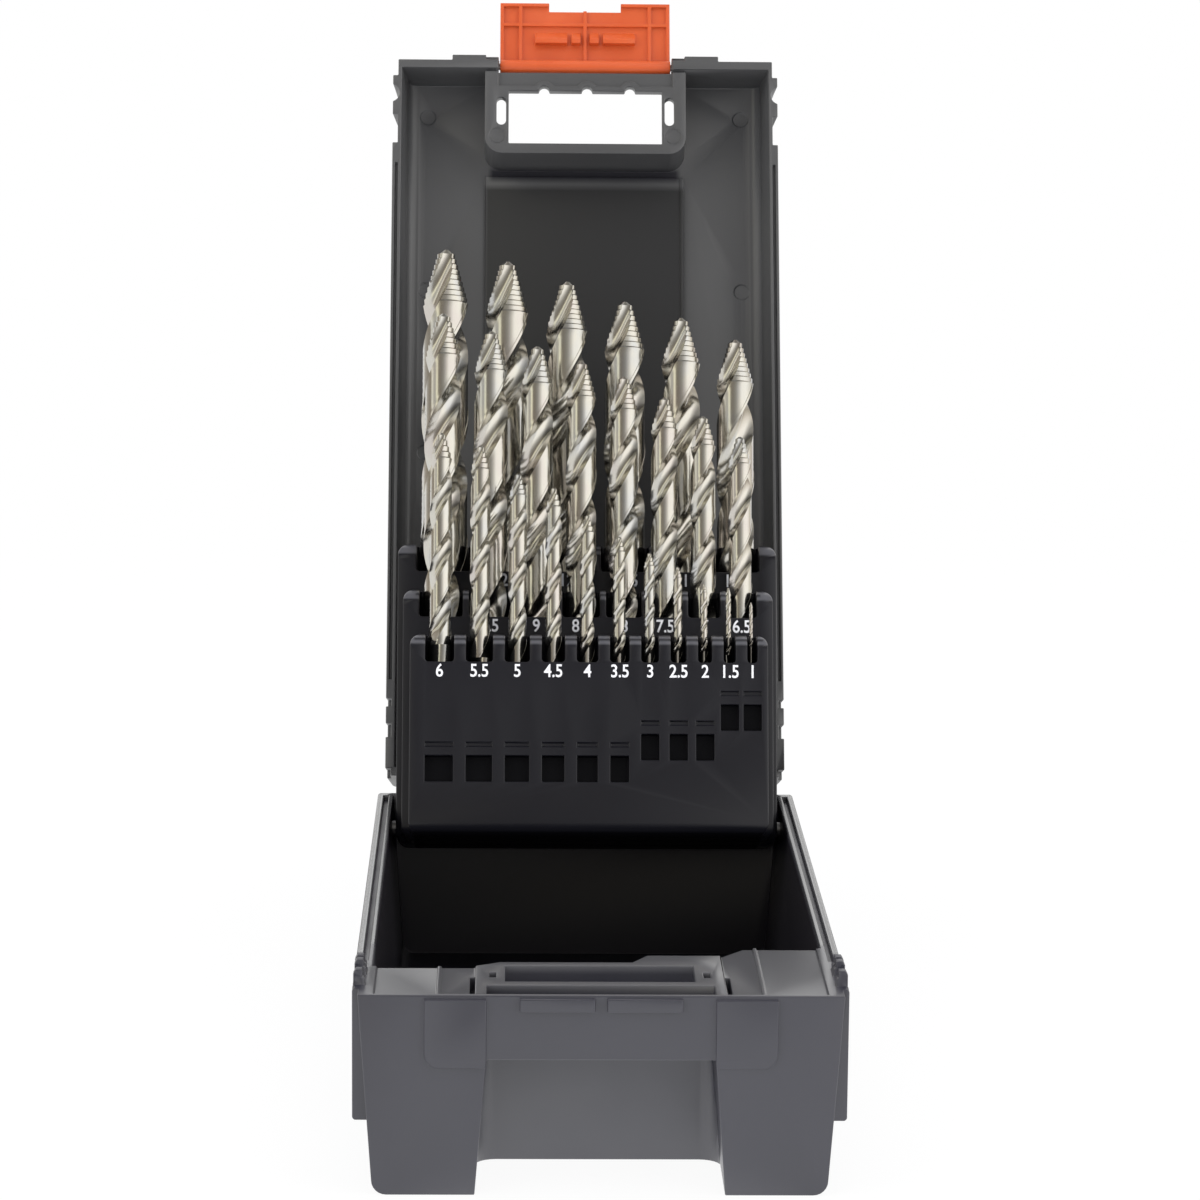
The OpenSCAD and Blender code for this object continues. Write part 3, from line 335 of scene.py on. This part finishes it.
class Shader:
    """A node material that is built step by step around one Principled shader."""

    def __init__(self, name, **sockets):
        self.material = bpy.data.materials.new(name)
        self.material.use_nodes = True
        self.tree = self.material.node_tree
        self.plain = self.tree.nodes["Principled BSDF"]
        for key, value in sockets.items():
            self.plain.inputs[key.replace("_", " ")].default_value = value
        coords = self.tree.nodes.new("ShaderNodeTexCoord")
        self.place = coords.outputs["Object"]

    def node(self, kind, **values):
        node = self.tree.nodes.new(kind)
        for key, value in values.items():
            setattr(node, key, value)
        return node

    def link(self, source, target):
        self.tree.links.new(source, target)

    def noise(self, scale, detail=3.0, stretch=(1, 1, 1), rough=0.55):
        mapping = self.node("ShaderNodeMapping")
        mapping.inputs["Scale"].default_value = stretch
        self.link(self.place, mapping.inputs["Vector"])
        noise = self.node("ShaderNodeTexNoise")
        noise.inputs["Scale"].default_value = scale
        noise.inputs["Detail"].default_value = detail
        noise.inputs["Roughness"].default_value = rough
        self.link(mapping.outputs[0], noise.inputs["Vector"])
        return noise.outputs["Fac"]

    def ramp(self, fac, stops):
        ramp = self.node("ShaderNodeValToRGB")
        self.link(fac, ramp.inputs["Fac"])
        elements = ramp.color_ramp.elements
        while len(elements) < len(stops):
            elements.new(0.5)
        for element, (position, colour) in zip(elements, stops):
            element.position = position
            element.color = (*colour, 1)
        return ramp.outputs["Color"]

    def spread(self, fac, low, high):
        span = self.node("ShaderNodeMapRange")
        span.inputs["From Min"].default_value = 0.3
        span.inputs["From Max"].default_value = 0.7
        span.inputs["To Min"].default_value = low
        span.inputs["To Max"].default_value = high
        self.link(fac, span.inputs["Value"])
        return span.outputs["Result"]

    def span(self, value, low, high):
        """0 at low and 1 at high, and clamped past them."""
        span = self.node("ShaderNodeMapRange")
        span.inputs["From Min"].default_value = low
        span.inputs["From Max"].default_value = high
        self.link(value, span.inputs["Value"])
        return span.outputs["Result"]

    def leant(self):
        """Coordinates in the rack's own frame: X across, Y deep and Z up its front face."""
        mapping = self.node("ShaderNodeMapping")
        mapping.inputs["Rotation"].default_value = (RACK_LEAN, 0, 0)
        mapping.inputs["Location"].default_value = Matrix.Rotation(RACK_LEAN, 3, "X") @ -RACK_AT
        self.link(self.place, mapping.inputs["Vector"])
        return mapping.outputs[0]

    def inside(self, place, ranges, soft):
        """1 inside a box that is given in mm as ranges for X, Y and Z, and 0 outside."""
        split = self.node("ShaderNodeSeparateXYZ")
        self.link(place, split.inputs[0])
        total = None
        for axis, (low, high) in ranges.items():
            for edge, way in ((low, 1), (high, -1)):
                ends = ((edge - way * soft) * MM, (edge + way * soft) * MM)
                part = self.span(split.outputs[axis], *ends)
                if total is None:
                    total = part
                    continue
                both = self.node("ShaderNodeMath", operation="MULTIPLY")
                self.link(total, both.inputs[0])
                self.link(part, both.inputs[1])
                total = both.outputs[0]
        return total

    def blend(self, mask, outside, within):
        """A value or colour that is one thing outside the mask and another within it."""
        mix = self.node("ShaderNodeMix", data_type="RGBA")
        self.link(mask, mix.inputs[0])
        for socket, source in ((mix.inputs[6], outside), (mix.inputs[7], within)):
            if isinstance(source, bpy.types.NodeSocket):
                self.link(source, socket)
            else:
                tone = source if isinstance(source, tuple) else (source,) * 3
                socket.default_value = (*tone, 1)
        return mix.outputs[2]

    def bump(self, height, strength, distance):
        bump = self.node("ShaderNodeBump")
        bump.inputs["Strength"].default_value = strength
        bump.inputs["Distance"].default_value = distance
        self.link(height, bump.inputs["Height"])
        self.link(bump.outputs[0], self.plain.inputs["Normal"])

    def colour(self, source):
        self.link(source, self.plain.inputs["Base Color"])

    def rough(self, source):
        self.link(source, self.plain.inputs["Roughness"])


def dark_plastic(name, tone, rough, grain, shine, zones=(), leans=False):
    """Moulded plastic: a fine eroded grain, faint flow marks and an uneven sheen.

    Each zone is a box with the tone, roughness and shine that it has instead; some zones paint shade or
    highlights into the tone.
    """
    s = Shader(name, Specular_IOR_Level=shine)
    place, soft = (s.leant(), 0.3) if leans else (s.place, 0.8)
    flow = s.noise(9, 2, (1, 0.35, 1))
    colour = s.ramp(flow, [(0.3, [c * 0.86 for c in tone]), (0.7, [c * 1.14 for c in tone])])
    sheen = s.spread(s.noise(38, 4), rough - 0.05, rough + 0.06)
    level = None
    for ranges, zone_tone, zone_rough, zone_shine in zones:
        mask = s.inside(place, ranges, soft)
        colour = s.blend(mask, colour, zone_tone)
        sheen = s.blend(mask, sheen, zone_rough)
        level = s.blend(mask, shine if level is None else level, zone_shine)
    s.colour(colour)
    s.rough(sheen)
    if level is not None:
        s.link(level, s.plain.inputs["Specular IOR Level"])
    s.bump(s.noise(2600, 2), grain, 0.00004)
    return s.material


def orange_plastic():
    s = Shader("orange_plastic", Subsurface_Weight=0.12, Subsurface_Radius=(0.004, 0.0016, 0.0008))
    cloud = s.noise(60, 3)
    s.colour(s.ramp(cloud, [(0.3, (0.50, 0.074, 0.014)), (0.7, (0.56, 0.092, 0.020))]))
    s.rough(s.spread(s.noise(120, 3), 0.34, 0.44))
    s.bump(s.noise(2400, 2), 0.12, 0.00004)
    return s.material


def drill_steel():
    """Ground steel: faint lengthwise grinding lines and a cast between grey, straw and rose."""
    s = Shader("drill_steel", Metallic=1.0)
    cast = s.noise(120, 2, (1, 1, 0.5))
    s.colour(s.ramp(cast, [
        (0.34, (0.57, 0.57, 0.56)),
        (0.5, (0.63, 0.61, 0.55)),
        (0.66, (0.61, 0.57, 0.53)),
    ]))
    s.rough(s.spread(s.noise(420, 3), 0.16, 0.21))
    s.bump(s.noise(500, 2, (1, 1, 0.2)), 0.02, 0.00002)
    return s.material


def pin_steel():
    s = Shader("pin_steel", Metallic=1.0)
    drawn = s.noise(700, 3, (0.2, 1, 1))
    s.colour(s.ramp(drawn, [(0.3, (0.30, 0.30, 0.31)), (0.7, (0.42, 0.42, 0.42))]))
    s.rough(s.spread(drawn, 0.26, 0.38))
    s.bump(drawn, 0.1, 0.00003)
    return s.material


def label_ink():
    s = Shader("label_ink")
    wear = s.noise(1500, 4)
    s.colour(s.ramp(wear, [(0.25, (0.70, 0.70, 0.71)), (0.6, (0.86, 0.86, 0.87))]))
    s.rough(s.spread(s.noise(300, 2), 0.45, 0.6))
    s.bump(wear, 0.1, 0.00002)
    return s.material


# ---------- shells: CAD forms with rounded edges ----------


def rounded_copy(node, name, radius, material):
    """The CAD node's form with its sharp edges rounded off."""
    bm = bmesh.new()
    bm.from_mesh(NODES[node].data)
    bmesh.ops.remove_doubles(bm, verts=bm.verts, dist=WELD * MM)
    for face in bm.faces:
        face.smooth = True
    mesh = bpy.data.meshes.new(name)
    bm.to_mesh(mesh)
    bm.free()
    piece = bpy.data.objects.new(name, mesh)
    bpy.context.scene.collection.objects.link(piece)
    bevel = piece.modifiers.new("edges", "BEVEL")
    bevel.harden_normals = True
    bevel.width = radius * MM
    bevel.segments = ROUND_STEPS
    bevel.limit_method = "ANGLE"
    bevel.angle_limit = math.radians(LEAST_EDGE)
    bevel.use_clamp_overlap = False
    bevel.loop_slide = False
    depsgraph = bpy.context.evaluated_depsgraph_get()
    done = bpy.data.meshes.new_from_object(piece.evaluated_get(depsgraph))
    piece.modifiers.clear()
    piece.data = done
    done.materials.clear()
    done.materials.append(material)
    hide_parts(node)
    return piece


# ---------- drills ----------


def bezier(points, count):
    a, b, c, d = (np.array(p) for p in points)
    t = np.linspace(0, 1, count)[:, None]
    return (1 - t) ** 3 * a + 3 * (1 - t) ** 2 * t * b + 3 * (1 - t) * t**2 * c + t**3 * d


def polar(radius, degrees):
    return (radius * math.cos(math.radians(degrees)), radius * math.sin(math.radians(degrees)))


def half_section():
    """Half a fluted cross-section: angles and radii as a share of the land's radius."""
    heel, margin, edge = -LAND_HALF, LAND_HALF - MARGIN, LAND_HALF
    land = [(math.radians(a), RELIEF) for a in np.linspace(heel, margin, LAND_POINTS)]
    land += [(math.radians(a), 1.0) for a in (margin + MARGIN_RISE, (margin + edge) / 2, edge)]
    ends = polar(1.0, edge), polar(*FLUTE_OUT), polar(*FLUTE_IN), polar(RELIEF, 180 + heel)
    flute = bezier(ends, FLUTE_POINTS)[1:-1]
    flute = [(math.atan2(y, x), math.hypot(x, y)) for x, y in flute]
    return np.array(land + flute)


SECTION = half_section()
PROFILE = np.concatenate([SECTION, SECTION + (math.pi, 0)])


def drill_stations(d, total, flutes):
    """Heights with the outer radius there, the flutes' depth from 0 to 1 and the web's thinning."""
    r = d / 2 * LAND_SHARE
    low, tip = total - flutes, total - d * (TIP_LEN + POINT_LEN)
    count = math.ceil((tip - low) / (PITCH * d) * RINGS_PER_TURN)
    chamfer = CHAMFER * d
    stations = [(0, d / 2 - chamfer, 0, 0), (chamfer, d / 2, 0, 0), (low - LAND_DROP, d / 2, 0, 0)]
    for h in np.linspace(low, tip, count):
        stations.append((h, r, min(1.0, (h - low) / (RUN_OUT * d)), 0))
    steps = max(LEAST_STEPS, round(d * TIP_LEN / TIP_STEP))
    rise = d * TIP_LEN / steps
    for k in range(steps):
        outer = r * (1 - (1 - TIP_LEAST) * (k + 1) / steps)
        for up in (SHOULDER, 0.5 + SHOULDER / 2, 1):
            stations.append((tip + rise * (k + up), outer, 1, WEB_THIN * (k + up) / steps))
    stations.append((total, r * TIP_LEAST * POINT_FLAT, 1, WEB_THIN))
    return stations


def drill_mesh(name, d, total, flutes):
    rings = []
    r = d / 2 * LAND_SHARE
    foot = total - d * (TIP_LEN + POINT_LEN)
    for h, outer, depth, thin in drill_stations(d, total, flutes):
        shares = (1 + (PROFILE[:, 1] - 1) * depth) * (1 - thin)
        radii = np.minimum(shares * max(outer, r), outer)
        angles = PROFILE[:, 0] + LAND_AT + 2 * math.pi * (h - foot) / (PITCH * d)
        rings.append(np.stack([radii * np.cos(angles), radii * np.sin(angles), np.full_like(radii, h)], 1))
    n = len(PROFILE)
    points = np.concatenate(rings) * MM
    faces = [tuple(range(n - 1, -1, -1)), tuple(range((len(rings) - 1) * n, len(rings) * n))]
    for j in range(len(rings) - 1):
        for k in range(n):
            m = (k + 1) % n
            faces.append((j * n + k, j * n + m, (j + 1) * n + m, (j + 1) * n + k))
    mesh = bpy.data.meshes.new(name)
    mesh.from_pydata(points.tolist(), [], faces)
    return mesh


def rack_point(x, t, s):
    turned = Matrix.Rotation(-RACK_LEAN, 3, "X") @ (Vector((x, t, s)) * MM)
    return RACK_AT + turned


def rack_turn():
    return Matrix.Rotation(-RACK_LEAN, 4, "X")


def node_of(d):
    return "drill_" + f"{d:.1f}".replace(".", "_")


def rack_x(node):
    low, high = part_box(node)
    return (low.x + high.x) / 2 / MM


def add_drills(material):
    for r, row in enumerate(ROWS):
        for d, total, flutes, seat in row:
            node = node_of(d)
            mesh = drill_mesh(f"fluted_{node}", d, total, flutes)
            place = Matrix.Translation(rack_point(rack_x(node), TIER_FACE[r] + ROW_IN[r], seat))
            mesh.transform(place @ rack_turn())
            mesh.polygons.foreach_set("use_smooth", [True] * len(mesh.polygons))
            mesh.set_sharp_from_angle(angle=math.radians(SHARP_EDGE))
            mesh.materials.append(material)
            piece = bpy.data.objects.new(f"fluted_{node}", mesh)
            bpy.context.scene.collection.objects.link(piece)
            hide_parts(node)
            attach(piece, BODY_OF[node])


# ---------- numerals ----------


def add_numerals(material):
    for r, row in enumerate(ROWS):
        for d, _, _, _ in row:
            text = f"{d:g}"
            data = bpy.data.curves.new(f"size_{text}", "FONT")
            data.body = text
            data.align_x, data.align_y = "CENTER", "CENTER"
            data.size = LABEL_HIGH / CAP_SHARE * MM
            data.offset = BOLD * MM
            data.extrude = INK_THICK * MM
            maker = bpy.data.objects.new("maker", data)
            bpy.context.scene.collection.objects.link(maker)
            depsgraph = bpy.context.evaluated_depsgraph_get()
            mesh = bpy.data.meshes.new_from_object(maker.evaluated_get(depsgraph))
            bpy.data.objects.remove(maker)
            mesh.transform(Matrix.Scale(NARROW, 4, (1, 0, 0)))
            upright = Matrix.Rotation(math.pi / 2, 4, "X")
            down = TIER_H[r] - LABEL_DOWN
            centre = rack_point(rack_x(node_of(d)), TIER_FACE[r] - INK_AHEAD, down)
            mesh.transform(Matrix.Translation(centre) @ rack_turn() @ upright)
            piece = bpy.data.objects.new(f"numeral_{text.replace('.', '_')}", mesh)
            bpy.context.scene.collection.objects.link(piece)
            mesh.materials.clear()
            mesh.materials.append(material)
            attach(piece, BODY_OF["rack"])


def dress_nodes(materials):
    for slot, material in materials.items():
        for part in frame["record"]["subparts"]:
            if part["material_slot"] == slot:
                mesh = NODES[part["node"]].data
                mesh.materials.clear()
                mesh.materials.append(material)


bpy.context.scene.view_settings.view_transform = "Standard"
add_camera()
add_world()
add_floor()
for name, light in LIGHTS.items():
    add_light(name, *light)

# Faces with a finish of their own, in mm: the tray's inside, glossier and painted darker as painted shade;
# the tops of its rims and the shelf at its front, glossier and painted lighter as painted highlights; the
# lid's middle field; and painted shadow on the strip between the field and the ring.
# The tray's inside: a glossier finish, with painted shade in its darker tone.
GLOSSY_TRAY_PAINTED_SHADE = {"X": (-53.6, 53.6), "Y": (-64, 103.6), "Z": (16.8, 45.6)}
GLOSSY_LOW_TRAY_PAINTED_SHADE = {"X": (-51, 51), "Y": (-64, 103.6), "Z": (1.2, 18.6)}
# The rims' tops: glossier, and painted lighter as a painted highlight.
GLOSSY_RIM_PAINTED_HIGHLIGHT = {"X": (-60, 60), "Y": (-66, 106), "Z": (46, 52)}
# The shelf's top: glossier, and painted lighter as a painted reflection of the backdrop.
GLOSSY_SHELF_PAINTED_HIGHLIGHT = {"X": (-54, 54), "Y": (-103.2, -58), "Z": (45.6, 52)}
FIELD = {"X": (-28.4, 28.4), "Z": (58, 204.5)}
# Painted shadow under the ring, between it and the field.
RING_PAINTED_SHADOW = {"X": (-27, 27), "Z": (206.5, 209.5)}
# Base, lid and rack are one plastic: the lid's lighter tone and the rack's darker tone are painted light
# and shade.
base_dark = dark_plastic("base_plastic", (0.027, 0.027, 0.037), 0.40, 0.25, 0.95, (
    # Painted shade inside the tray, which is also glossier.
    (GLOSSY_TRAY_PAINTED_SHADE, (0.014, 0.013, 0.0165), 0.30, 0.45),
    (GLOSSY_LOW_TRAY_PAINTED_SHADE, (0.014, 0.013, 0.0165), 0.30, 0.45),
    # Painted highlight on the rims' tops, which are also glossier.
    (GLOSSY_RIM_PAINTED_HIGHLIGHT, (0.060, 0.060, 0.062), 0.15, 1.0),
    # Painted highlight on the shelf, which is also glossier.
    (GLOSSY_SHELF_PAINTED_HIGHLIGHT, (0.075, 0.075, 0.082), 0.30, 1.0),
))
lid_dark = dark_plastic("lid_plastic", (0.064, 0.064, 0.0645), 0.34, 0.2, 0.7, (
    (FIELD, (0.022, 0.022, 0.0222), 0.36, 0.35),
    # Painted shadow under the ring.
    (RING_PAINTED_SHADOW, (0.018, 0.0175, 0.021), 0.40, 0.2),
))
# Painted highlights along each tier's top edge, and painted shade inside its bores and windows.
TIER_TOP_PAINTED_HIGHLIGHTS = tuple({"Y": (y - 1, y + 2.4), "Z": (z - 3.0, z + 1)} for y, z in zip(TIER_FACE, TIER_H))
# Painted shade inside the bores and windows.
BORE_PAINTED_SHADE = tuple(
    {"X": (-46, 46), "Y": (y + 0.9, y + 13.5), "Z": (-5, z - 1.4)} for y, z in zip(TIER_FACE, TIER_H)
)
rack_dark = dark_plastic("rack_plastic", (0.0075, 0.0075, 0.0105), 0.34, 0.15, 0.42, [
    # Painted highlights on the tiers' top edges.
    *((edge, (0.070, 0.070, 0.080), 0.28, 1.0) for edge in TIER_TOP_PAINTED_HIGHLIGHTS),
    # Painted shade inside the bores and windows.
    *((shaded_hollow, (0.003, 0.003, 0.004), 0.5, 0.1) for shaded_hollow in BORE_PAINTED_SHADE),
], leans=True)
steel = drill_steel()
orange = orange_plastic()
dress_nodes({"dark_plastic": base_dark, "orange_plastic": orange, "pin_steel": pin_steel(),
             "drill_steel": steel})
for node, material, radius in (
    ("base_shell", base_dark, ROUNDING),
    ("lid_shell", lid_dark, ROUNDING),
    ("rack", rack_dark, RACK_ROUNDING),
    ("rack_tier_middle", rack_dark, RACK_ROUNDING),
    ("rack_tier_front", rack_dark, RACK_ROUNDING),
    ("latch", orange, LATCH_ROUNDING),
):
    piece = rounded_copy(node, f"moulded_{node}", radius, material)
    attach(piece, BODY_OF[node])
add_drills(steel)
add_numerals(label_ink())
